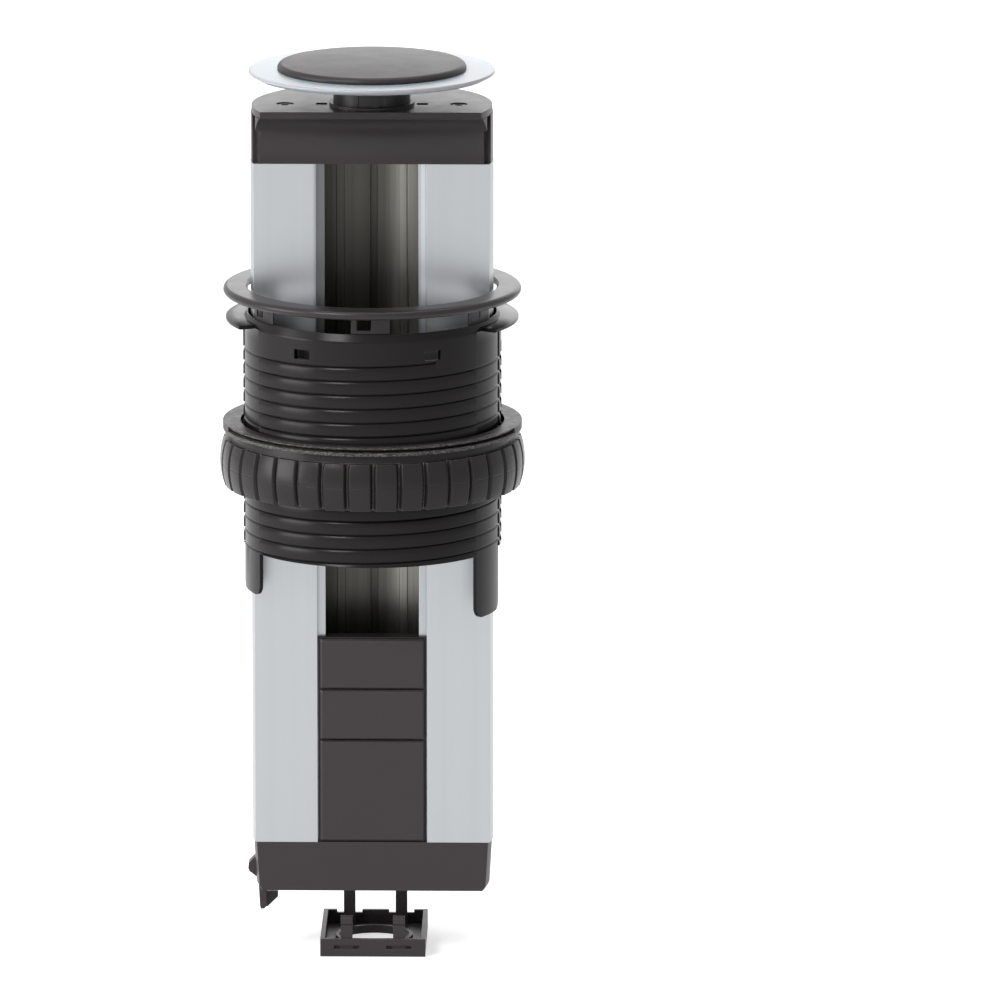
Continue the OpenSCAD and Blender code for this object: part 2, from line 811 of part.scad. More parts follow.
module cable_tray() {
    half = tray_w / 2;
    back = tray_front + tray_depth;
    hole_y = tray_front + tray_depth / 2;
    collar = 1.5;
    color(dark) {
        difference() {
            box([-half, tray_front, tray_z], [half, back, tray_top]);
            box([-half + tray_wall, tray_front + tray_wall, tray_z + tray_wall],
                [half - tray_wall, back - tray_wall, tray_top + cut]);
            translate([0, hole_y, tray_z - cut]) cylinder(r = cable_r, h = tray_h);
            // Notches in the back wall and slots in the front wall, at the arms
            both_sides() {
                box([arm_x - 5, back - tray_wall - cut, tray_top - 1.2], [arm_x + 5, back + cut, tray_top + cut]);
                box([arm_x - 5, tray_front - cut, tray_top - 4], [arm_x + 5, tray_front + 0.9, tray_top - 2.6]);
                box([arm_x - 5, tray_front + 0.8, tray_top - 4], [arm_x - arm_w / 2 - 0.4, front_arm_y + cut, tray_top + cut]);
                box([arm_x + arm_w / 2 + 0.4, tray_front + 0.8, tray_top - 4], [arm_x + 5, front_arm_y + cut, tray_top + cut]);
            }
        }
        // Raised collar round the cable hole
        translate([0, hole_y, 0]) wall_ring(cable_r, cable_r + collar, tray_z + tray_wall - 0.2, tray_z + tray_wall + 1.4);
        both_sides() {
            tray_arm(front_arm_y, tray_z + tray_wall - 0.2, front_arm_top, 0.8, 0);
            tray_arm(rear_arm_y, tray_z + tray_wall - 0.2, rear_arm_top, 0.9, 1);
        }
    }
}

mounting_tube();
trim_ring();
pressure_ring();
clamp_nut();
profile();
head_block();
top_plate();
head_screws();
lid_stem();
stem_clip();
light_ring();
lid_cap();
lid_spring();
module_frame();
upper_blank();
middle_blank();
lower_blank();
base_block();
base_screws();
latch_lever();
latch_pin();
latch_spring();
cable_tray();
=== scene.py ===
"""Desk socket tower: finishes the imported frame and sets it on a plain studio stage.

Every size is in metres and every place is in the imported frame: z is up, the front is towards -y,
and z = 0 is the top of the desk under the tube's flange.
"""

from functools import partialmethod
import math

import bmesh
import bpy
from mathutils import Matrix, Vector


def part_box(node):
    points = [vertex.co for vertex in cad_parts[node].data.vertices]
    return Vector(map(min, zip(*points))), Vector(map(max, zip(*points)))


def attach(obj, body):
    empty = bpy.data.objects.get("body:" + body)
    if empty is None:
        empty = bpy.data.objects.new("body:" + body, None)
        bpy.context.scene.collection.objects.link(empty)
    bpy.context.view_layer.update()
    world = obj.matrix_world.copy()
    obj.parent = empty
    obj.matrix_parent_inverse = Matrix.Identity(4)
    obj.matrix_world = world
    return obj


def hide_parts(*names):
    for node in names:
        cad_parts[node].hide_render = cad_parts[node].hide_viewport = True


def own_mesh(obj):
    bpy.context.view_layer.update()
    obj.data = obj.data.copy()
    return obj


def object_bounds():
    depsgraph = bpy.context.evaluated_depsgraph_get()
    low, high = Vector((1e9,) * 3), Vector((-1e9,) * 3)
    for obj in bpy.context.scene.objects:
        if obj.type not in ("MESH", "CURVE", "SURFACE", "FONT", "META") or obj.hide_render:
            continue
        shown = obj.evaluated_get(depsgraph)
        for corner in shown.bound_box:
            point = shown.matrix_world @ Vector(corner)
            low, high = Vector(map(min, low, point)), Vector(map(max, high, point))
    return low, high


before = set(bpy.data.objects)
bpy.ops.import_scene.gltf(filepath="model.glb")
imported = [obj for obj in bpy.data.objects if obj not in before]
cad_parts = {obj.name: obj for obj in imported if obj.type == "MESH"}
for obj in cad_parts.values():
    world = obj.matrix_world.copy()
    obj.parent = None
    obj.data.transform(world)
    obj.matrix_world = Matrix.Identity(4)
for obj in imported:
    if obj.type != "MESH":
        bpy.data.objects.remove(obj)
CAD_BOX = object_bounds()

bl_info = {
    "name": "Desk Socket Tower",
    "version": (1, 0, 0),
    "blender": (4, 5, 0),
    "location": "3D View > Sidebar > Socket Tower",
    "description": "Builds the finishes, the moulded pieces and the stage of a desk socket tower",
    "category": "Object",
}

MM = 0.001
FULL_TURN = 2 * math.pi

# Bearings in degrees from the front towards +x
WINDOWS = (-29.0, 31.6)
WINDOW_HALF = 3.97
CLIPS = (-60.0, 0.5, 61.0)
CLIP_OPENING = (-6.26, 0.35)
THREAD_START = 33.1
KEYWAY = (86.6, 93.4)
WASHER_FRONT = 73.0
COLUMN_STEP = 2.5
EDGE_GAP = 0.06

# Levels
BAND_FOOT = -8.3 * MM
WINDOW_LEVELS = (-8.2 * MM, -4.3 * MM)
STRIP_TOP = -0.6 * MM
CLIP_WINDOW = (4.4 * MM, 8.9 * MM)

# Depths, thicknesses and radii
KEYWAY_DEPTH = 1.15 * MM
STRIP_DEPTH = 0.45 * MM
LEG_CORNER = 4.5 * MM
TRIM_THICKNESS = 3.5 * MM
CLIP_HALF = 7.5 * MM
NUT_EASE = 0.4 * MM
RUNNING_GAP = 0.15 * MM

# Section of the thread's groove in mm: drop below its upper wall, and depth
THREAD = (
    (-0.06, 0.0), (0.0, 0.85), (0.5, 0.9), (0.7, 0.62), (0.95, 0.42),
    (1.3, 0.24), (1.75, 0.1), (2.4, 0.0), (3.9, 0.0),
)

# Turns of the thread that the tube's rows follow, from its foot up
THREAD_TURNS = range(14, -2, -1)

# Section of the flange: how far its edge falls back in mm, or None for the wall inside it, and
# the share of its thickness
FLANGE = ((0.5, 0.0), (0.0, 0.15), (0.0, 0.8), (0.5, 1.0), (None, 1.0))

# Degrees in from a leg's edges, where its round corners have their columns
LEG_COLUMNS = (0.3, 0.8, 1.6, 2.6, 3.9, 5.1)

# Lamps: the setting that holds the power, the place and the size
LAMPS = {
    "Key": ("key_power", (-1.2, -1.75, 1.5), 0.8),
    "Side": ("side_power", (-2.25, -0.75, 0.3), 1.3),
    "Top": ("top_power", (0.2, 0.3, 2.6), 2.4),
    "Back": ("back_power", (0.5, 2.8, 0.9), 1.8),
}
LAMP_TARGET = (0, 0, -0.07)
SENSOR_WIDTH = 36
WHITE = (1, 1, 1, 1)


# Sizes that follow from the frame

def top_of(node):
    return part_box(node)[1].z


def foot_of(node):
    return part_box(node)[0].z


def radius_of(node):
    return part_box(node)[1].x


# Settings

def number_prop(name, description, default, **limits):
    return bpy.props.FloatProperty(name=name, description=description, default=default, **limits)


def level_prop(name, description, default, **limits):
    return number_prop(name, description, default, subtype="DISTANCE", unit="LENGTH", **limits)


def length_prop(name, description, default, least=0.0):
    return level_prop(name, description, default, min=least)


def angle_prop(name, description, degrees):
    return number_prop(name, description, math.radians(degrees), subtype="ANGLE", unit="ROTATION")


def power_prop(name, description, watts):
    return number_prop(name, description, watts, unit="POWER", min=0)


def gloss_prop(name, description, default):
    return number_prop(name, description, default, subtype="FACTOR", min=0, max=1)


def colour_prop(name, description, default):
    return bpy.props.FloatVectorProperty(
        name=name, description=description, default=default, subtype="COLOR", size=3, min=0, max=1,
    )


class TowerFinish(bpy.types.PropertyGroup):
    """Colours and gloss of the tower's materials"""

    plastic: colour_prop(
        "Plastic", "Colour of the moulded anthracite pieces", (0.0215, 0.0180, 0.0190))
    plastic_gloss: gloss_prop("Plastic Roughness", "Roughness of the satin moulded pieces", 0.34)
    nut: colour_prop("Nut", "Colour of the clamp nut", (0.0200, 0.0175, 0.0175))
    nut_gloss: gloss_prop("Nut Roughness", "Roughness of the clamp nut", 0.26)
    aluminium: colour_prop("Aluminium", "Colour of the anodised profile", (0.400, 0.415, 0.430))
    aluminium_gloss: gloss_prop(
        "Aluminium Roughness", "Roughness of the anodised profile", 0.34)
    # Painted shade: the metal's colour is darkened where shade falls inside the module channel
    channel: colour_prop(
        "Channel", "Colour of the dull metal inside the module channel", (0.120, 0.117, 0.106))
    milky: colour_prop(
        "Milky Acrylic", "Colour of the light ring under the lid's cap", (0.50, 0.56, 0.61))
    steel: colour_prop(
        "Steel", "Colour of the screws, the pin and the springs", (0.45, 0.45, 0.46))
    edge_round: length_prop("Edge Rounding", "Radius of the softened edges", 0.25 * MM)


class TowerSizes(bpy.types.PropertyGroup):
    """Sizes of the pieces that are made here"""

    grips: bpy.props.IntProperty(
        name="Grips", description="Number of grips around the clamp nut", min=12, max=60,
        default=36,
    )
    grip_phase: number_prop("Grip Phase", "Turn of the first grip, counted in grips", 0.66)
    grip_width: length_prop("Grip Width", "Width of a grip's face", 7.9 * MM)
    flute_depth: length_prop("Flute Depth", "Depth of the flutes between the grips", 1.5 * MM)
    flank: length_prop("Flank", "How far a grip's flank slants out on its way in", 0.85 * MM)
    grip_bulge: length_prop(
        "Grip Bulge", "How far a grip's ends fall back behind its middle", 1.5 * MM)
    grip_round: length_prop("Grip Rounding", "Radius of a grip's edges", 0.22 * MM)
    nut_height: length_prop("Nut Height", "Height of the nut's grips", 18.5 * MM)
    washer_foot: level_prop("Washer Foot", "Level of the pressure ring's underside", -43.4 * MM)
    collar_height: length_prop(
        "Collar Height", "Height of the collar that carries the pressure ring", 3.3 * MM)
    pitch: length_prop("Thread Pitch", "Pitch of the tube's thread", 5.55 * MM, least=1 * MM)
    thread_level: level_prop(
        "Thread Level", "Level of the first groove's upper wall at the front", -9.35 * MM)
    tube_turn: number_prop(
        "Tube Turn", "Turn of the tube against the tower, in degrees", -2.5)
    tube_radius: length_prop("Tube Radius", "Outer radius of the tube", 50.5 * MM)
    bore_radius: length_prop("Bore Radius", "Inner radius of the tube", 48.6 * MM)
    rim_radius: length_prop("Rim Radius", "Outer radius of the tube's upper edge", 49.3 * MM)
    rim_height: length_prop("Rim Height", "Level of the tube's upper edge", 3.0 * MM)
    flange_radius: length_prop("Flange Radius", "Radius of the flange", 57.2 * MM)
    flange_thickness: length_prop("Flange Thickness", "Thickness of the flange", 1.5 * MM)
    flange_gap: number_prop(
        "Flange Gap", "Half of the flange's opening at the front, in degrees", 61.0)
    tube_foot: level_prop("Tube Foot", "Level of the tube's lower edge", -89.1 * MM)
    left_leg: length_prop("Left Leg", "Length of the left leg", 17 * MM)
    right_leg: length_prop("Right Leg", "Length of the right leg", 25 * MM)
    strip_from: number_prop(
        "Strip Start", "Bearing where the side strips start, in degrees", 57.6)
    strip_to: number_prop("Strip End", "Bearing where the side strips end, in degrees", 83.2)
    coil_turns: number_prop("Coil Turns", "Turns of the lid's spring", 5, min=1)
    wire: length_prop("Wire", "Radius of the spring's wire", 0.6 * MM)


class TowerStage(bpy.types.PropertyGroup):
    """Camera, lamps and floor"""

    azimuth: angle_prop("Azimuth", "Bearing of the camera from the front towards +x", 1.44)
    elevation: angle_prop("Elevation", "Height angle of the camera", 12.015)
    roll: angle_prop("Roll", "Turn of the camera about its view", -0.10)
    distance: length_prop(
        "Distance", "Distance of the camera from the target", 5.062, least=0.5)
    target_height: level_prop("Target Height", "Height of the target on the tower's axis", -0.070)
    target_pixel: bpy.props.FloatVectorProperty(
        name="Target Pixel", description="Where the target is in the image, from its top left",
        size=2, default=(372.6, 492.9),
    )
    image_size: number_prop("Image Size", "Width and height of the image in pixels", 1000)
    pixels_per_metre: number_prop(
        "Pixels per Metre", "Scale of the image at the target", 2553, min=1)
    floor_colour: colour_prop("Floor", "Colour of the floor", (0.86, 0.86, 0.86))
    floor_glow: number_prop(
        "Floor Glow", "How much whiter the camera sees the floor", 0.62, min=0)
    key_power: power_prop("Key Power", "Power of the key lamp", 36)
    side_power: power_prop("Side Power", "Power of the lamp on the left", 36)
    top_power: power_prop("Top Power", "Power of the lamp overhead", 34)
    back_power: power_prop("Back Power", "Power of the lamp behind", 12)
    world_level: number_prop(
        "Room Light", "Level of the even light of the room", 0.22, min=0)


# Node trees

def label(name):
    """A socket's label, from the name that stands for it here"""
    return name.replace("_", " ").title().replace("Ior", "IOR")


class Tree:
    """A node tree that grows node by node"""

    def __init__(self, tree):
        self.tree = tree
        self.nodes = tree.nodes

    def node(self, kind, **settings):
        made = self.nodes.new(kind)
        for name, value in settings.items():
            setattr(made, name, value)
        return made

    def feed(self, socket, value):
        """Links a socket, or sets its value"""
        if isinstance(value, bpy.types.NodeSocket):
            self.tree.links.new(value, socket)
        else:
            socket.default_value = value

    def add(self, kind, settings=None, **inputs):
        """Adds a node with its inputs linked or set, and gives its first output"""
        made = self.node(kind, **(settings or {}))
        for name, value in inputs.items():
            self.feed(made.inputs[label(name)], value)
        return made.outputs[0]

    def calculate(self, operation, first, second=0.0):
        made = self.node("ShaderNodeMath", operation=operation)
        self.feed(made.inputs[0], first)
        self.feed(made.inputs[1], second)
        return made.outputs[0]

    plus = partialmethod(calculate, "ADD")
    minus = partialmethod(calculate, "SUBTRACT")
    times = partialmethod(calculate, "MULTIPLY")
    over = partialmethod(calculate, "DIVIDE")
    above = partialmethod(calculate, "GREATER_THAN")
    below = partialmethod(calculate, "LESS_THAN")
    most = partialmethod(calculate, "MAXIMUM")
    unsigned = partialmethod(calculate, "ABSOLUTE")

    def split(self, place):
        """The x, y and z of a vector"""
        made = self.node("ShaderNodeSeparateXYZ")
        self.feed(made.inputs[0], place)
        return made.outputs

    def reach(self, x, y):
        """Distance from the tower's axis"""
        return self.calculate("SQRT", self.plus(self.times(x, x), self.times(y, y)))

    def seen(self):
        """1 for the rays that show the background: from the camera, a mirror or a glass"""
        path = self.node("ShaderNodeLightPath").outputs
        return self.most(self.most(path["Is Camera Ray"], path["Is Glossy Ray"]),
                         path["Is Transmission Ray"])


# Materials

class Finish(Tree):
    """A material whose tree grows from its Principled shader"""

    def __init__(self, name, colour, roughness, **sockets):
        self.material = bpy.data.materials.new(name)
        self.material.use_nodes = True
        self.material.diffuse_color = (*colour, 1)
        super().__init__(self.material.node_tree)
        self.inputs = self.nodes["Principled BSDF"].inputs
        sockets.update(base_color=(*colour, 1), roughness=roughness)
        for socket, value in sockets.items():
            self.inputs[label(socket)].default_value = value
        self.place = self.node("ShaderNodeTexCoord").outputs["Object"]
        self.normal = None

    def step(self, value, start, end):
        """A smooth step from 0 to 1, as the value goes from start to end"""
        return self.add("ShaderNodeMapRange", {"interpolation_type": "SMOOTHSTEP"},
                        value=value, from_min=start, from_max=end)

    def stretched(self, scale):
        """Object coordinates, scaled along each axis"""
        return self.add("ShaderNodeMapping", scale=scale, vector=self.place)

    def noise(self, size, detail=2.0, place=None):
        """Noise whose patches are about size metres across"""
        return self.add("ShaderNodeTexNoise", scale=1 / size, detail=detail,
                        vector=place or self.place)

    def mix(self, factor, first, second):
        """A colour between two colours, or between two sockets"""
        made = self.node("ShaderNodeMix", data_type="RGBA")
        self.feed(made.inputs[0], factor)
        for socket, colour in ((made.inputs[6], first), (made.inputs[7], second)):
            linked = isinstance(colour, bpy.types.NodeSocket)
            self.feed(socket, colour if linked else (*colour, 1))
        return made.outputs[2]

    def shades(self, factor, colour, low, high):
        """A colour between two shares of itself"""
        return self.mix(factor, lighter(colour, low), lighter(colour, high))

    def colour(self, colour):
        self.feed(self.inputs["Base Color"], colour)

    def roughness_between(self, factor, low, high):
        """Brings the factor's middle range to two degrees of roughness"""
        self.feed(self.inputs["Roughness"], self.add(
            "ShaderNodeMapRange", value=factor, from_min=0.3, from_max=0.7, to_min=low, to_max=high,
        ))

    def soften(self, radius):
        """Edges that shade as if they were rounded"""
        return self.add("ShaderNodeBevel", {"samples": 6}, radius=radius)

    def bump(self, height, depth, normal=None):
        """Adds a relief to the normal so far"""
        inputs = {"strength": 1.0, "distance": depth, "height": height}
        normal = normal or self.normal
        if normal is not None:
            inputs["normal"] = normal
        self.normal = self.add("ShaderNodeBump", **inputs)
        self.feed(self.inputs["Normal"], self.normal)

    def edge_mask(self, radius):
        """A mask that is 1 on the edges and 0 on the faces"""
        dot = self.node("ShaderNodeVectorMath", operation="DOT_PRODUCT")
        self.feed(dot.inputs[0], self.soften(radius))
        self.feed(dot.inputs[1], self.node("ShaderNodeNewGeometry").outputs["Normal"])
        return self.step(dot.outputs["Value"], 0.995, 0.85)


def lighter(colour, share):
    return tuple(min(1.0, c * share) for c in colour)


def moulded_plastic(name, colour, roughness, grain=0.35 * MM, grain_depth=0.010 * MM,
                    edge=0.25 * MM, shine=0.26, wear_and_highlight=2.4):
    """Moulded plastic: a fine grain, soft patches of gloss and lighter edges, partly worn and
    partly a painted highlight
    """
    finish = Finish(name, colour, roughness, specular_ior_level=shine)
    finish.tone = finish.shades(finish.noise(18 * MM), colour, 0.96, 1.05)
    # Lighter edges: partly real wear, partly a painted highlight
    finish.colour(finish.mix(finish.edge_mask(edge), finish.tone, lighter(colour, wear_and_highlight)))
    finish.roughness_between(finish.noise(7 * MM, 3), roughness - 0.02, roughness + 0.02)
    finish.bump(finish.noise(grain), grain_depth, finish.soften(edge))
    return finish


def threaded_plastic(name, colour, roughness, sizes):
    """Moulded plastic, with painted shade in the thread's grooves and on the side strips"""
    finish = moulded_plastic(name, colour, roughness, grain_depth=0.005 * MM, shine=0.13)
    x, y, z = finish.split(finish.place)
    reach, skin = finish.reach(x, y), sizes.tube_radius
    outside = finish.times(finish.above(reach, sizes.bore_radius + 0.4 * MM),
                           finish.below(z, -0.3 * MM))
    # Painted shade: a little darker from 0.1 to 0.4 mm in from the skin, as on the side strips and
    # grooves' flanks, much darker from 0.55 mm in, in the grooves' roots and keyways
    shallow = finish.step(reach, skin - 0.1 * MM, skin - 0.4 * MM)
    deep = finish.step(reach, skin - 0.55 * MM, skin - 0.85 * MM)
    tone = finish.mix(finish.times(shallow, outside), finish.tone, lighter(colour, 0.75))
    finish.colour(finish.mix(finish.times(deep, outside), tone, lighter(colour, 0.25)))
    return finish


def parted_plastic(name, colour, roughness, seam):
    """Moulded plastic with a fine parting line at a level"""
    # Edges six times lighter: a painted highlight along the grips' edges, beyond the wear
    finish = moulded_plastic(name, colour, roughness, edge=0.35 * MM, shine=0.18, wear_and_highlight=6)
    z = finish.split(finish.place)[2]
    off_seam = finish.step(finish.unsigned(finish.minus(z, seam)), 0.10 * MM, 0.30 * MM)
    finish.bump(off_seam, 0.10 * MM)
    return finish


def anodised_aluminium(name, colour, channel_shade_colour, roughness, edge):
    """Anodised aluminium with fine drawn lines, and painted shade inside the channel"""
    rail_back, above_tube = -7 * MM, (-30 * MM, 0.0)
    left_shade = (-23.2 * MM, -20.5 * MM)
    glint_from, glint_to = (18.9 * MM, 19.6 * MM), (21.3 * MM, 20.7 * MM)
    channel_front, channel_back, channel_half = (-8.9 * MM, -7.6 * MM), 33 * MM, 21.6 * MM
    finish = Finish(name, colour, roughness, metallic=1.0)
    lines = finish.noise(1.0, 3, finish.stretched((2600, 2600, 9)))
    bands = finish.noise(1.0, 2, finish.stretched((220, 220, 1.5)))
    outside = finish.shades(bands, colour, 0.96, 1.03)
    x, y, z = finish.split(finish.place)
    # Above the tube the left rail is in shade and the right one catches the light
    front = finish.times(finish.below(y, rail_back), finish.step(z, *above_tube))
    shade = finish.times(finish.step(x, *left_shade), finish.below(x, 0.0))
    outside = finish.mix(finish.times(shade, front), outside, lighter(colour, 0.36))
    glint = finish.times(finish.step(x, *glint_from), finish.step(x, *glint_to))
    outside = finish.mix(finish.times(glint, front), outside, lighter(colour, 1.35))
    # Painted shade inside the channel: darker on its left, and painted light on its right, lighter
    # than the metal
    left = finish.shades(bands, channel_shade_colour, 0.35, 0.8)
    right = finish.shades(bands, channel_shade_colour, 1.5, 2.7)
    inside = finish.mix(finish.step(x, 3 * MM, 12 * MM), left, right)
    within = finish.times(finish.step(y, *channel_front), finish.below(y, channel_back))
    within = finish.times(within, finish.below(finish.unsigned(x), channel_half))
    finish.colour(finish.mix(within, outside, inside))
    finish.roughness_between(lines, roughness - 0.05, roughness + 0.06)
    finish.bump(lines, 0.006 * MM, finish.soften(edge))
    return finish


def milky_acrylic(name, colour):
    """Milky acrylic that glows softly in the light"""
    finish = Finish(
        name, colour, 0.30, transmission_weight=0.30, subsurface_weight=0.6,
        subsurface_scale=4 * MM, ior=1.49, specular_ior_level=0.5,
    )
    finish.colour(finish.shades(finish.noise(9 * MM), colour, 0.97, 1.03))
    finish.bump(finish.noise(0.5 * MM), 0.003 * MM)
    return finish


def plated_steel(name, colour, roughness):
    """Zinc plated steel with a fine turned grain"""
    finish = Finish(name, colour, roughness, metallic=1.0)
    finish.colour(finish.shades(finish.noise(2 * MM, 3), colour, 0.85, 1.15))
    finish.roughness_between(finish.noise(0.6 * MM), roughness - 0.06, roughness + 0.08)
    finish.bump(finish.noise(0.12 * MM), 0.004 * MM, finish.soften(0.15 * MM))
    return finish


def eroded_plastic(name, colour, roughness, edge):
    """Matt plastic, with the coarse grain of a spark-eroded mould on its front rim"""
    rim_depth, rim_back, grain_colour = 3.6 * MM, -15 * MM, (0.205, 0.190, 0.185)
    finish = Finish(name, colour, roughness, specular_ior_level=0.26)
    x, y, z = finish.split(finish.place)
    rim = finish.times(finish.above(finish.reach(x, y), radius_of("pressure_ring") - rim_depth),
                       finish.below(y, rim_back))
    grain = finish.step(finish.noise(0.45 * MM), 0.48, 0.60)
    rough = finish.mix(grain, lighter(colour, 0.6), grain_colour)
    finish.colour(finish.mix(rim, colour, rough))
    finish.roughness_between(finish.noise(3 * MM), roughness - 0.05, roughness + 0.05)
    finish.bump(finish.times(grain, rim), 0.10 * MM, finish.soften(edge))
    return finish


# Shapes

class Shape(Tree):
    """A Geometry Nodes tree with named inputs, which is baked to one plain mesh"""

    def __init__(self, name, **sizes):
        super().__init__(bpy.data.node_groups.new(name, "GeometryNodeTree"))
        self.name = name
        self.sizes = {label(key): value for key, value in sizes.items()}
        new_socket = self.tree.interface.new_socket
        for key, value in self.sizes.items():
            kind = "NodeSocketInt" if isinstance(value, int) else "NodeSocketFloat"
            new_socket(key, in_out="INPUT", socket_type=kind)
        new_socket("Material", in_out="INPUT", socket_type="NodeSocketMaterial")
        new_socket("Shape", in_out="OUTPUT", socket_type="NodeSocketGeometry")
        self.size = self.node("NodeGroupInput").outputs

    def at(self, x=0.0, y=0.0, z=0.0):
        return self.add("ShaderNodeCombineXYZ", x=x, y=y, z=z)

    def join(self, *parts):
        made = self.node("GeometryNodeJoinGeometry")
        for part in parts:
            self.feed(made.inputs[0], part)
        return made.outputs[0]

    def fillet(self, outline, count, radius):
        """A closed curve with round corners"""
        return self.add("GeometryNodeFilletCurve", {"mode": "POLY"},
                        curve=outline, count=count, radius=radius, limit_radius=True)

    def ring(self, inner, outer, low, high, rows=0):
        """A ring of a rectangular section with round corners, its sides cut into rows"""
        middle = self.times(self.plus(inner, outer), 0.5)
        level = self.times(self.plus(low, high), 0.5)
        path = self.add("GeometryNodeCurvePrimitiveCircle", resolution=180, radius=middle)
        path = self.add("GeometryNodeSetCurveNormal", {"mode": "Z_UP"}, curve=path)
        section = self.add("GeometryNodeCurvePrimitiveQuadrilateral",
                           width=self.minus(outer, inner), height=self.minus(high, low))
        section = self.fillet(section, 4, NUT_EASE)
        if rows:
            section = self.add("GeometryNodeSubdivideCurve", curve=section, cuts=rows)
        swept = self.add("GeometryNodeCurveToMesh", curve=path, profile_curve=section)
        return self.add("GeometryNodeTransform", geometry=swept, translation=self.at(z=level))

    def bake(self, geometry, finish):
        """Ends the tree, and turns its result into a plain mesh"""
        geometry = self.add("GeometryNodeRealizeInstances", geometry=geometry)
        geometry = self.add("GeometryNodeSetMaterial", geometry=geometry,
                            material=self.size["Material"])
        self.feed(self.node("NodeGroupOutput").inputs[0], geometry)
        piece = placed(self.name, bpy.data.meshes.new(self.name))
        modifier = piece.modifiers.new(self.name, "NODES")
        modifier.node_group = self.tree
        for socket in self.tree.interface.items_tree:
            if socket.in_out == "INPUT":
                modifier[socket.identifier] = self.sizes.get(socket.name, finish.material)
        evaluated = piece.evaluated_get(bpy.context.evaluated_depsgraph_get())
        mesh = bpy.data.meshes.new_from_object(evaluated)
        piece.modifiers.remove(modifier)
        piece.data = mesh
        if not mesh.polygons:
            raise RuntimeError(self.name + " came out empty")
        smooth(mesh)
        return piece


class Skin:
    """Points and faces of one closed mesh; points at the same place are one"""

    def __init__(self):
        self.points = {}
        self.faces = []

    def point(self, radius, bearing, level):
        """A point by its radius, its bearing in degrees and its level"""
        turn = math.radians(bearing)
        place = (radius * math.sin(turn), -radius * math.cos(turn), level)
        key = tuple(round(value * 1e7) for value in place)
        return self.points.setdefault(key, (len(self.points), place))[0]

    def face(self, *corners):
        corners = list(dict.fromkeys(corners))
        if len(corners) > 2:
            self.faces.append(corners)

    def turned(self, outline, steps=192):
        """A form turned about the axis from a closed outline of radii and levels"""
        for first, second in zip(outline, outline[1:] + outline[:1]):
            for i in range(steps):
                left, right = 360 * i / steps, 360 * ((i + 1) % steps) / steps
                corners = (first, left), (first, right), (second, right), (second, left)
                self.face(*(self.point(radius, bearing, level)
                            for (radius, level), bearing in corners))

    def wall(self, bearings, rows, inner, open_cell=lambda bearing, level: False, turn=0.0):
        """A wall round the axis: each row gives the outer radius and the level at a bearing"""
        grid = [[row(bearing) for row in rows] for bearing in bearings]
        closed = bearings[-1] - bearings[0] > 359.9
        columns = len(bearings) - 1

        def stands(i, j):
            if closed:
                i %= columns
            if not (0 <= i < columns and 0 <= j < len(rows) - 1):
                return False
            level = (grid[i][j][1] + grid[i][j + 1][1]
                     + grid[i + 1][j][1] + grid[i + 1][j + 1][1]) / 4
            return not open_cell((bearings[i] + bearings[i + 1]) / 2, level)

        def corner(i, j, outside):
            radius, level = grid[i][j]
            bearing = bearings[0 if closed and i == columns else i] + turn
            return self.point(radius if outside else inner, bearing, level)

        for i in range(columns):
            for j in range(len(rows) - 1):
                if not stands(i, j):
                    continue
                cell = ((i, j), (i + 1, j), (i + 1, j + 1), (i, j + 1))
                out, back = ([corner(m, n, outside) for m, n in cell] for outside in (True, False))
                self.face(*out)
                self.face(*reversed(back))
                for side, (m, n) in enumerate(((i, j - 1), (i + 1, j), (i, j + 1), (i - 1, j))):
                    if not stands(m, n):
                        k = (side + 1) % 4
                        self.face(out[side], back[side], back[k], out[k])

    def piece(self, name, finish, angle=35):
        mesh = bpy.data.meshes.new(name)
        places = [place for _, place in sorted(self.points.values())]
        mesh.from_pydata(places, [], self.faces)
        skin = bmesh.new()
        skin.from_mesh(mesh)
        bmesh.ops.recalc_face_normals(skin, faces=skin.faces)
        skin.to_mesh(mesh)
        skin.free()
        mesh.materials.append(finish.material)
        smooth(mesh, angle)
        return placed(name, mesh)


def placed(name, data):
    """A new object in the scene"""
    made = bpy.data.objects.new(name, data)
    bpy.context.scene.collection.objects.link(made)
    return made


def smooth(mesh, angle=35):
    """Smooth shading, with edges of more than an angle in degrees kept sharp"""
    mesh.shade_smooth()
    mesh.set_sharp_from_angle(angle=math.radians(angle))


def arc(centre, radius, start, end, count):
    """Points of an arc in an outline, by angles in degrees from the outward direction"""
    angles = [math.radians(start + (end - start) * i / count) for i in range(count + 1)]
    return [(centre[0] + radius * math.cos(a), centre[1] + radius * math.sin(a)) for a in angles]


def columns_round(edges, more=()):
    """Bearings of a grid's columns round the axis, with a close pair at each edge"""
    last = round(180 / COLUMN_STEP)
    found = [i * COLUMN_STEP for i in range(-last, last + 1)]
    found += [edge + gap for edge in edges for gap in (-EDGE_GAP, EDGE_GAP)]
    kept = []
    for bearing in sorted(found + list(more)):
        if not kept or bearing - kept[-1] > 0.1:
            kept.append(bearing)
    return kept


def turned(name, outline, finish):
    """A piece turned about the tower's axis from an outline of radii and levels"""
    skin = Skin()
    skin.turned(outline)
    return skin.piece(name, finish)


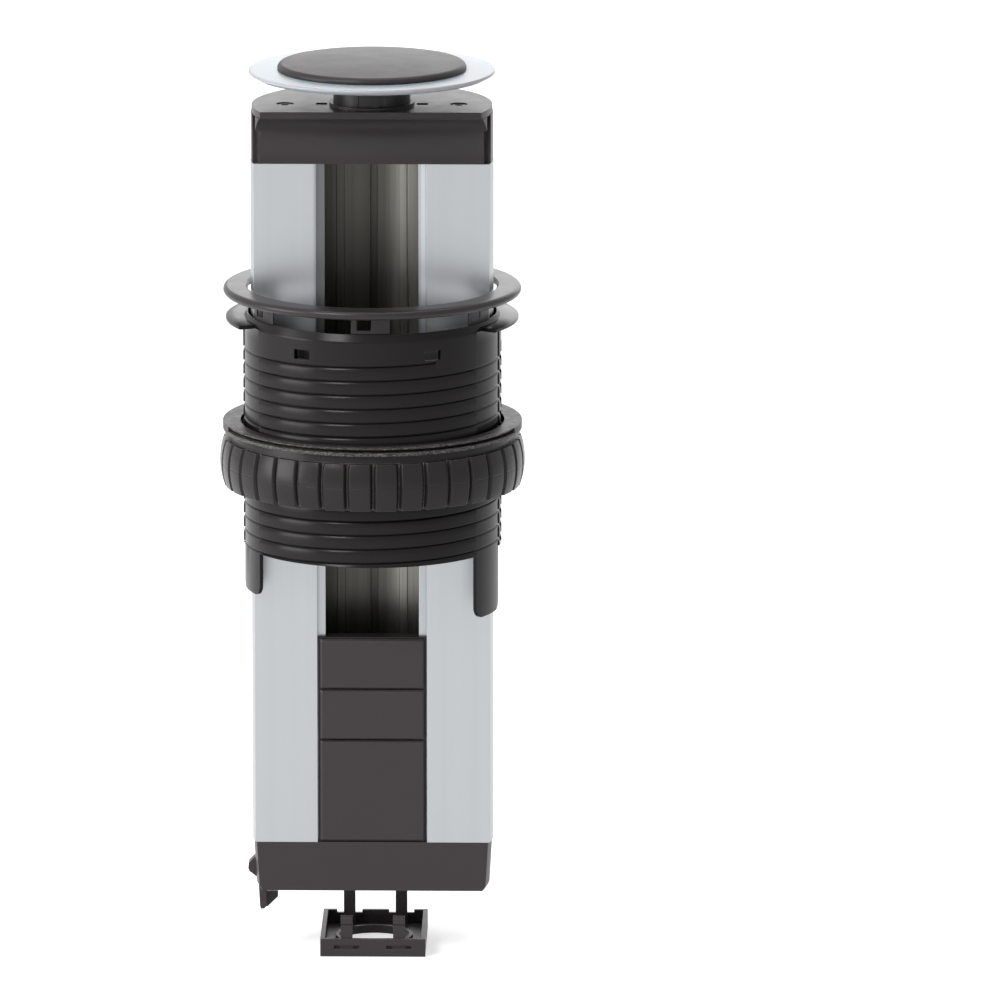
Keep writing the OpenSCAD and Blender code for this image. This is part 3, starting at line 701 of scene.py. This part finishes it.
def eased(node, width, finish):
    """A copy of a CAD node with rounded edges"""
    mesh = bmesh.new()
    mesh.from_mesh(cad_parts[node].data)
    bmesh.ops.remove_doubles(mesh, verts=mesh.verts, dist=0.001 * MM)
    bmesh.ops.dissolve_limit(
        mesh, angle_limit=math.radians(0.5), verts=mesh.verts, edges=mesh.edges)
    data = bpy.data.meshes.new(node + "_eased")
    mesh.to_mesh(data)
    mesh.free()
    data.materials.append(finish.material)
    smooth(data)
    piece = placed(node + "_eased", data)
    bevel = piece.modifiers.new("Edges", "BEVEL")
    bevel.width = width
    bevel.segments = 3
    bevel.limit_method = "ANGLE"
    bevel.angle_limit = math.radians(50)
    bevel.harden_normals = True
    return piece


def coat(finish, *nodes):
    """Gives CAD nodes their finish"""
    for node in nodes:
        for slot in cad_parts[node].material_slots:
            slot.material = finish.material


def stand_for(piece, node, body):
    """Shows a piece in place of a CAD node"""
    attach(piece, body)
    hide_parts(node)


# Operators

class TOWER_OT_tube(bpy.types.Operator):
    """Make the mounting tube with its thread, windows, flange and legs"""

    bl_idname = "tower.tube"
    bl_label = "Mounting Tube"

    def execute(self, context):
        look, sizes = context.scene.tower_finish, context.scene.tower_sizes
        finish = threaded_plastic(
            "tube_plastic", lighter(look.plastic, 0.6), look.plastic_gloss - 0.10, sizes)
        stand_for(self.tube(sizes, finish), "mounting_tube", "tube")
        return {"FINISHED"}

    def tube(self, sizes, finish):
        rows = [self.leg_end(sizes), self.plain(sizes, sizes.tube_foot)]
        rows += [self.threaded(sizes, turn, drop * MM, depth * MM)
                 for turn in THREAD_TURNS for drop, depth in reversed(THREAD)]
        rows += [self.plain(sizes, level)
                 for level in (BAND_FOOT, *WINDOW_LEVELS, STRIP_TOP, 0.0)]
        rows += [self.flange(sizes, ease, share * sizes.flange_thickness)
                 for ease, share in FLANGE]
        rows += [self.flange(sizes, None, share * sizes.rim_height) for share in (0.95, 1.0)]

        def opened(bearing, level):
            in_band = WINDOW_LEVELS[0] < level < WINDOW_LEVELS[1]
            window = any(abs(bearing - centre) < WINDOW_HALF for centre in WINDOWS)
            below = level < sizes.tube_foot
            leg = sizes.strip_from < abs(bearing) < sizes.strip_to
            return (in_band and window) or (below and not leg)

        skin = Skin()
        skin.wall(self.bearings(sizes), rows, sizes.bore_radius, opened, sizes.tube_turn)
        return skin.piece("threaded_tube", finish, 40)

    def bearings(self, sizes):
        """Bearings of the grid's columns, closer at each edge and at the legs' corners"""
        edges = [THREAD_START]
        more = [centre + side * WINDOW_HALF for centre in WINDOWS for side in (-1, 1)]
        ends = (sizes.strip_from, sizes.strip_to, *KEYWAY, sizes.flange_gap)
        for side in (-1, 1):
            edges += [side * end for end in ends]
            for step in LEG_COLUMNS:
                more += [side * (sizes.strip_from + step), side * (sizes.strip_to - step)]
        return columns_round(edges, more)

    def radius(self, sizes, bearing, level):
        away = abs(bearing)
        if KEYWAY[0] < away < KEYWAY[1] and level <= BAND_FOOT:
            return sizes.tube_radius - KEYWAY_DEPTH
        if sizes.strip_from < away < sizes.strip_to and level <= STRIP_TOP:
            return sizes.tube_radius - STRIP_DEPTH
        return sizes.tube_radius

    def plain(self, sizes, level):
        return lambda bearing: (self.radius(sizes, bearing, level), level)

    def threaded(self, sizes, turn, drop, depth):
        """A row along the thread: its groove starts square and runs out at the foot"""
        def row(bearing):
            level = sizes.thread_level + sizes.pitch * (bearing / 360 - turn) - drop
            cut = depth if turn > 0 or (turn == 0 and bearing < THREAD_START) else 0.0
            if not sizes.tube_foot < level < BAND_FOOT:
                level = max(sizes.tube_foot, min(level, BAND_FOOT))
                cut = 0.0
            return min(self.radius(sizes, bearing, level), sizes.tube_radius - cut), level
        return row

    def flange(self, sizes, ease, level):
        """A row of the rim, which carries the flange where ease is a number"""
        cone = sizes.tube_radius + (sizes.rim_radius - sizes.tube_radius) * level / sizes.rim_height
        reach = cone if ease is None else sizes.flange_radius - ease * MM
        return lambda bearing: (reach if abs(bearing) > sizes.flange_gap else cone, level)

    def leg_end(self, sizes):
        """The two legs' lower ends, with round corners"""
        def row(bearing):
            away = abs(bearing)
            if not sizes.strip_from < away < sizes.strip_to:
                return self.radius(sizes, bearing, sizes.tube_foot), sizes.tube_foot
            length = sizes.left_leg if bearing < 0 else sizes.right_leg
            edge = min(away - sizes.strip_from, sizes.strip_to - away)
            near = max(0.0, LEG_CORNER - math.radians(edge) * sizes.tube_radius)
            corner = LEG_CORNER - math.sqrt(LEG_CORNER ** 2 - near ** 2)
            return sizes.tube_radius - STRIP_DEPTH, sizes.tube_foot - length + corner
        return row


class TOWER_OT_trim(bpy.types.Operator):
    """Make the raised trim ring with its three clips"""

    bl_idname = "tower.trim"
    bl_label = "Trim Ring"

    def execute(self, context):
        look, sizes = context.scene.tower_finish, context.scene.tower_sizes
        lift = top_of("trim_ring") - TRIM_THICKNESS
        neck = lift + (sizes.rim_height - sizes.flange_thickness + 0.3 * MM)
        skin = Skin()
        skin.turned(self.ring(sizes, lift, neck))
        for centre in CLIPS:
            self.clip(skin, sizes, centre, neck)
        finish = moulded_plastic(
            "trim_plastic", lighter(look.plastic, 1.15), look.plastic_gloss - 0.04)
        stand_for(skin.piece("trim_ring_moulded", finish), "trim_ring", "trim")
        return {"FINISHED"}

    def ring(self, sizes, lift, neck):
        """Outline of the ring, with a rebate over the flange's rim"""
        top, reach, edge = top_of("trim_ring"), radius_of("trim_ring"), TRIM_THICKNESS / 2
        bore, seat = sizes.bore_radius + 0.075 * MM, sizes.tube_radius + RUNNING_GAP
        lip = 0.8 * MM
        outline = [(bore, neck), (bore, top - lip), (bore + lip, top)]
        outline += arc((reach - edge, lift + edge), edge, 90, -90, 16)
        return outline + [(seat, lift), (seat, neck)]

    def clip(self, skin, sizes, centre, neck):
        """A clip with its window, rooted in the ring above its neck"""
        half = math.degrees(math.asin(CLIP_HALF / sizes.bore_radius))
        columns = (-half, -7.5, CLIP_OPENING[0], -4, -2, CLIP_OPENING[1], 2, 4, 6, half)
        levels = (foot_of("trim_ring"), *CLIP_WINDOW, neck, neck + 0.5 * MM)

        def row(level):
            face = sizes.bore_radius + (0.3 if level > neck else -0.05) * MM
            return lambda bearing: (face, level)

        def opened(bearing, level):
            return (CLIP_OPENING[0] < bearing - centre < CLIP_OPENING[1]
                    and CLIP_WINDOW[0] < level < CLIP_WINDOW[1])

        skin.wall([centre + column for column in columns], [row(level) for level in levels],
                  sizes.bore_radius - 0.55 * MM, opened)


class TOWER_OT_clamp(bpy.types.Operator):
    """Make the pressure ring and the clamp nut"""

    bl_idname = "tower.clamp"
    bl_label = "Clamp"

    def execute(self, context):
        look, sizes = context.scene.tower_finish, context.scene.tower_sizes
        finish = eroded_plastic("washer_plastic", look.plastic, 0.42, look.edge_round)
        stand_for(self.washer(sizes, finish), "pressure_ring", "washer")
        stand_for(self.nut(look, sizes), "clamp_nut", "nut")
        return {"FINISHED"}

    def washer(self, sizes, finish):
        """The pressure ring, with a groove round its front"""
        top, foot, reach = top_of("pressure_ring"), sizes.washer_foot, radius_of("pressure_ring")
        groove_foot, groove_top = foot + 1.3 * MM, top - 0.6 * MM
        floor = reach - 4.3 * MM
        # Level, radius at the front, and whether the radius holds at the front only
        sections = (
            (foot, reach - 0.2 * MM, False),
            (foot + 0.2 * MM, reach, False),
            (foot + 1.15 * MM, reach, False),
            (groove_foot, reach - 0.15 * MM, False),
            (groove_foot, floor, True),
            (groove_top, floor, True),
            (groove_top, reach - 0.8 * MM, True),
            (top - 0.15 * MM, reach - 0.7 * MM, True),
            (top, reach - 0.85 * MM, True),
        )

        def row(level, radius, front_only):
            return lambda bearing: (
                radius if abs(bearing) < WASHER_FRONT or not front_only else reach, level)

        skin = Skin()
        skin.wall(columns_round((-WASHER_FRONT, WASHER_FRONT)),
                  [row(*section) for section in sections], sizes.tube_radius + 1.1 * MM)
        return skin.piece("pressure_ring_moulded", finish)

    def nut(self, look, sizes):
        reach = radius_of("clamp_nut") - 0.13 * MM
        top = sizes.washer_foot - sizes.collar_height
        foot = top - sizes.nut_height
        shape = Shape(
            "clamp_nut_grips", grips=sizes.grips, phase=sizes.grip_phase, reach=reach,
            bore=sizes.tube_radius + RUNNING_GAP, collar=reach - 3.5 * MM, foot=foot, top=top,
            collar_top=sizes.washer_foot, grip_width=sizes.grip_width,
            flute_depth=sizes.flute_depth, flank=sizes.flank, bulge=sizes.grip_bulge,
            rounding=sizes.grip_round,
        )
        size = shape.size
        middle = shape.times(shape.plus(size["Foot"], size["Top"]), 0.5)
        half = shape.times(shape.minus(size["Top"], size["Foot"]), 0.5)
        grips = self.grips(shape, middle, half)
        core = shape.minus(size["Reach"], size["Flute Depth"])
        body = shape.ring(size["Bore"], core, size["Foot"], size["Top"], rows=6)
        barrel = self.barrel(shape, shape.join(grips, body), middle, half)
        collar = shape.ring(size["Bore"], size["Collar"], middle, size["Collar Top"])
        finish = parted_plastic("nut_plastic", look.nut, look.nut_gloss, (foot + top) / 2)
        return shape.bake(shape.join(barrel, collar), finish)

    def grips(self, shape, middle, half):
        """The grips round the nut: upright bars with slanted flanks"""
        size = shape.size
        depth = shape.plus(size["Flute Depth"], 1.0 * MM)
        slant = shape.over(shape.times(size["Flank"], depth), size["Flute Depth"])
        root = shape.plus(size["Grip Width"], shape.times(slant, 2.0))
        section = shape.add("GeometryNodeCurvePrimitiveQuadrilateral", {"mode": "TRAPEZOID"},
                            height=depth, bottom_width=root, top_width=size["Grip Width"],
                            offset=0.0)
        section = shape.add("GeometryNodeTransform", geometry=section,
                            rotation=(0.0, 0.0, -math.pi / 2))
        section = shape.fillet(section, 3, size["Rounding"])
        path = shape.add("GeometryNodeCurvePrimitiveLine", end=(0.0, 0.0, 1.0))
        path = shape.add("GeometryNodeResampleCurve", curve=path, count=25)
        # The points of the path lie closer towards its ends, where the bar is drawn in
        swing = shape.times(shape.add("GeometryNodeSplineParameter"), math.pi)
        swing = shape.calculate("COSINE", swing)
        centre = shape.minus(size["Reach"], shape.times(depth, 0.5))
        level = shape.minus(middle, shape.times(half, swing))
        path = shape.add("GeometryNodeSetPosition", geometry=path,
                         position=shape.at(centre, 0.0, level))
        ends = shape.calculate("POWER", shape.unsigned(swing), 40.0)
        grip = shape.add("GeometryNodeCurveToMesh", curve=path, profile_curve=section,
                         scale=shape.minus(1.0, shape.times(ends, 0.05)), fill_caps=True)
        turn = shape.plus(shape.add("GeometryNodeInputIndex"), size["Phase"])
        turn = shape.over(shape.times(turn, FULL_TURN), size["Grips"])
        around = shape.add(
            "GeometryNodeInstanceOnPoints", instance=grip,
            points=shape.add("GeometryNodePoints", count=size["Grips"]),
            rotation=shape.add("FunctionNodeEulerToRotation", euler=shape.at(z=turn)),
        )
        return shape.add("GeometryNodeRealizeInstances", geometry=around)

    def barrel(self, shape, geometry, middle, half):
        """Draws the outside in towards the ends, as far as the bulge"""
        size = shape.size
        x, y, z = shape.split(shape.add("GeometryNodeInputPosition"))
        radius = shape.reach(x, y)
        away = shape.over(shape.minus(z, middle), half)
        fall = shape.times(shape.times(away, away), size["Bulge"])
        share = shape.over(shape.times(fall, -1.0), radius)
        outside = shape.above(radius, shape.minus(size["Reach"], 4 * MM))
        share = shape.times(share, outside)
        offset = shape.at(shape.times(x, share), shape.times(y, share))
        return shape.add("GeometryNodeSetPosition", geometry=geometry, offset=offset)


class TOWER_OT_profile(bpy.types.Operator):
    """Finish the aluminium profile"""

    bl_idname = "tower.profile"
    bl_label = "Profile"

    def execute(self, context):
        look = context.scene.tower_finish
        finish = anodised_aluminium(
            "anodised", look.aluminium, look.channel, look.aluminium_gloss, look.edge_round)
        coat(finish, "profile")
        return {"FINISHED"}


class TOWER_OT_head(bpy.types.Operator):
    """Finish the grip block, the top plate and their screws"""

    bl_idname = "tower.head"
    bl_label = "Head"

    def execute(self, context):
        look = context.scene.tower_finish
        # A lighter copy of the plastic: painted light that lifts the head out of the lid's shade
        plastic = moulded_plastic("head_plastic", lighter(look.plastic, 1.4), look.plastic_gloss)
        coat(plastic, "head_block", "top_plate")
        coat(plated_steel("screw_steel", lighter(look.steel, 0.35), 0.35), "head_screws")
        return {"FINISHED"}


class TOWER_OT_lid(bpy.types.Operator):
    """Make the lid's cap, its light ring and its spring, and finish its stem"""

    bl_idname = "tower.lid"
    bl_label = "Lid"

    def execute(self, context):
        look = context.scene.tower_finish
        stem = moulded_plastic("stem_plastic", lighter(look.plastic, 0.8), look.plastic_gloss)
        coat(stem, "lid_stem")
        stand_for(self.cap(look), "lid_cap", "lid")
        stand_for(self.light_ring(look), "light_ring", "lid")
        steel = plated_steel("spring_steel", look.steel, 0.3)
        coat(steel, "stem_clip", "latch_spring")
        self.spring(context.scene.tower_sizes, steel)
        return {"FINISHED"}

    def cap(self, look):
        radius, foot, top = radius_of("lid_cap"), foot_of("lid_cap"), top_of("lid_cap")
        shoulder, lip, steps = 1.9 * MM, 0.4 * MM, 24
        flat = radius - shoulder
        rise = top - foot - 2.6 * MM
        outline = [(flat * i / steps, top - rise * (i / steps) ** 2) for i in range(steps)]
        outline += arc((flat, top - rise - shoulder), shoulder, 90, 0, 12)
        outline += arc((radius - lip, foot + lip), lip, 0, -90, 4) + [(0, foot)]
        finish = moulded_plastic(
            "cap_plastic", lighter(look.plastic, 1.2), 0.42, grain=0.6 * MM, grain_depth=0.02 * MM)
        return turned("lid_dome", outline, finish)

    def light_ring(self, look):
        radius, foot, top = radius_of("light_ring"), foot_of("light_ring"), top_of("light_ring")
        inner, edge = 12 * MM, 0.7 * MM
        outline = [(inner, foot), (radius - 3.6 * MM, foot)]
        outline.append((radius - 2.2 * MM, foot + 0.25 * MM))
        outline += arc((radius - edge, top - edge), edge, -40, 90, 10) + [(inner, top)]
        return turned("lid_light_ring", outline, milky_acrylic("milky_acrylic", look.milky))

    def spring(self, sizes, steel):
        foot, top = foot_of("lid_spring"), top_of("lid_spring")
        shape = Shape(
            "lid_coil", turns=sizes.coil_turns, wire=sizes.wire, foot=foot,
            radius=radius_of("lid_spring") - sizes.wire, height=top - foot,
        )
        size = shape.size
        rise = shape.minus(size["Height"], shape.times(size["Wire"], 2.0))
        coil = shape.add("GeometryNodeCurveSpiral", resolution=32, rotations=size["Turns"],
                         start_radius=size["Radius"], end_radius=size["Radius"], height=rise)
        section = shape.add("GeometryNodeCurvePrimitiveCircle", resolution=12,
                            radius=size["Wire"])
        wire = shape.add("GeometryNodeCurveToMesh", curve=coil, profile_curve=section,
                         fill_caps=True)
        level = shape.plus(size["Foot"], size["Wire"])
        wire = shape.add("GeometryNodeTransform", geometry=wire, translation=shape.at(z=level))
        spring = shape.bake(wire, steel)
        stand_for(spring, "lid_spring", "tower")
        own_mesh(spring)


class TOWER_OT_blanks(bpy.types.Operator):
    """Finish the module frame and its three blanks"""

    bl_idname = "tower.blanks"
    bl_label = "Blanks"

    def execute(self, context):
        look = context.scene.tower_finish
        ease = 0.5 * MM
        coat(moulded_plastic("frame_plastic", lighter(look.plastic, 0.6), 0.45), "module_frame")
        # The wider edge also widens the lighter edge band, partly wear and partly a painted
        # highlight
        finish = moulded_plastic(
            "blank_plastic", lighter(look.plastic, 1.75), look.plastic_gloss, edge=ease)
        for node in ("upper_blank", "middle_blank", "lower_blank"):
            stand_for(eased(node, ease, finish), node, "tower")
        return {"FINISHED"}


class TOWER_OT_base(bpy.types.Operator):
    """Finish the base block with its latch, its screws and the cable tray"""

    bl_idname = "tower.base"
    bl_label = "Base and Tray"

    def execute(self, context):
        look = context.scene.tower_finish
        plastic = moulded_plastic(
            "base_plastic", lighter(look.plastic, 1.8), look.plastic_gloss + 0.08)
        coat(plastic, "base_block", "latch_lever", "cable_tray")
        coat(plated_steel("base_steel", look.steel, 0.35), "base_screws", "latch_pin")
        return {"FINISHED"}


class TOWER_OT_stage(bpy.types.Operator):
    """Set up the floor, the lamps, the room and the camera"""

    bl_idname = "tower.stage"
    bl_label = "Stage"

    def execute(self, context):
        scene = context.scene
        settings = scene.tower_stage
        self.floor(settings)
        self.room(scene, settings)
        for name, (power, place, size) in LAMPS.items():
            self.lamp(name, getattr(settings, power), place, size)
        self.camera(scene, settings)
        scene.view_settings.view_transform = "Standard"
        return {"FINISHED"}

    def floor(self, settings):
        half = 15.0
        level = CAD_BOX[0][2] - 0.2 * MM
        mesh = bpy.data.meshes.new("floor")
        corners = [(x * half, y * half, level) for x, y in ((-1, -1), (1, -1), (1, 1), (-1, 1))]
        mesh.from_pydata(corners, [], [(0, 1, 2, 3)])
        finish = Finish("floor_card", settings.floor_colour, 0.9, specular_ior_level=0.1,
                        emission_color=WHITE)
        finish.colour(finish.shades(finish.noise(0.4), settings.floor_colour, 0.99, 1.0))
        glow = finish.times(finish.seen(), settings.floor_glow)
        finish.feed(finish.inputs["Emission Strength"], glow)
        mesh.materials.append(finish.material)
        placed("floor", mesh)

    def room(self, scene, settings):
        """An even room light, which the camera sees as white"""
        scene.world = bpy.data.worlds.new("Room")
        scene.world.use_nodes = True
        tree = Tree(scene.world.node_tree)
        light = tree.nodes["Background"]
        light.inputs["Color"].default_value = WHITE
        light.inputs["Strength"].default_value = settings.world_level
        white = tree.add("ShaderNodeBackground", color=WHITE)
        mix = tree.node("ShaderNodeMixShader")
        for socket, value in zip(mix.inputs, (tree.seen(), light.outputs[0], white)):
            tree.feed(socket, value)
        tree.feed(tree.nodes["World Output"].inputs["Surface"], mix.outputs[0])

    def lamp(self, name, power, place, size):
        data = bpy.data.lights.new(name, "AREA")
        data.energy = power
        data.size = size
        lamp = placed(name, data)
        lamp.location = place
        aim = Vector(LAMP_TARGET) - Vector(place)
        lamp.rotation_euler = aim.to_track_quat("-Z", "Y").to_euler()

    def camera(self, scene, settings):
        data = bpy.data.cameras.new("Camera")
        scene.camera = placed("Camera", data)
        target = Vector((0, 0, settings.target_height))
        flat = math.cos(settings.elevation)
        back = Vector((
            math.sin(settings.azimuth) * flat,
            -math.cos(settings.azimuth) * flat,
            math.sin(settings.elevation),
        ))
        turn = Matrix.Rotation(settings.azimuth, 4, "Z") @ Matrix.Rotation(
            math.pi / 2 - settings.elevation, 4, "X") @ Matrix.Rotation(settings.roll, 4, "Z")
        scene.camera.matrix_world = Matrix.Translation(target + back * settings.distance) @ turn
        data.sensor_width = SENSOR_WIDTH
        data.lens = (settings.pixels_per_metre * settings.distance * SENSOR_WIDTH
                     / settings.image_size)
        data.shift_x = 0.5 - settings.target_pixel[0] / settings.image_size
        data.shift_y = settings.target_pixel[1] / settings.image_size - 0.5
        data.clip_end = 60


STEPS = (
    TOWER_OT_stage,
    TOWER_OT_tube,
    TOWER_OT_trim,
    TOWER_OT_clamp,
    TOWER_OT_profile,
    TOWER_OT_head,
    TOWER_OT_lid,
    TOWER_OT_blanks,
    TOWER_OT_base,
)


class TOWER_PT_panel(bpy.types.Panel):
    """Lists the steps that build the tower"""

    bl_idname = "TOWER_PT_panel"
    bl_label = "Socket Tower"
    bl_space_type = "VIEW_3D"
    bl_region_type = "UI"
    bl_category = "Socket Tower"

    def draw(self, context):
        layout = self.layout
        for step in STEPS:
            layout.operator(step.bl_idname)
        scene = context.scene
        for settings in (scene.tower_finish, scene.tower_sizes, scene.tower_stage):
            box = layout.box()
            for name in settings.__annotations__:
                box.prop(settings, name)


SETTINGS = {"tower_finish": TowerFinish, "tower_sizes": TowerSizes, "tower_stage": TowerStage}
CLASSES = (*SETTINGS.values(), *STEPS, TOWER_PT_panel)


def register():
    for kind in CLASSES:
        bpy.utils.register_class(kind)
    for name, kind in SETTINGS.items():
        setattr(bpy.types.Scene, name, bpy.props.PointerProperty(type=kind))


def unregister():
    for name in SETTINGS:
        delattr(bpy.types.Scene, name)
    for kind in reversed(CLASSES):
        bpy.utils.unregister_class(kind)


def main():
    register()
    for step in STEPS:
        group, name = step.bl_idname.split(".")
        getattr(getattr(bpy.ops, group), name)()


if __name__ == "__main__":
    main()
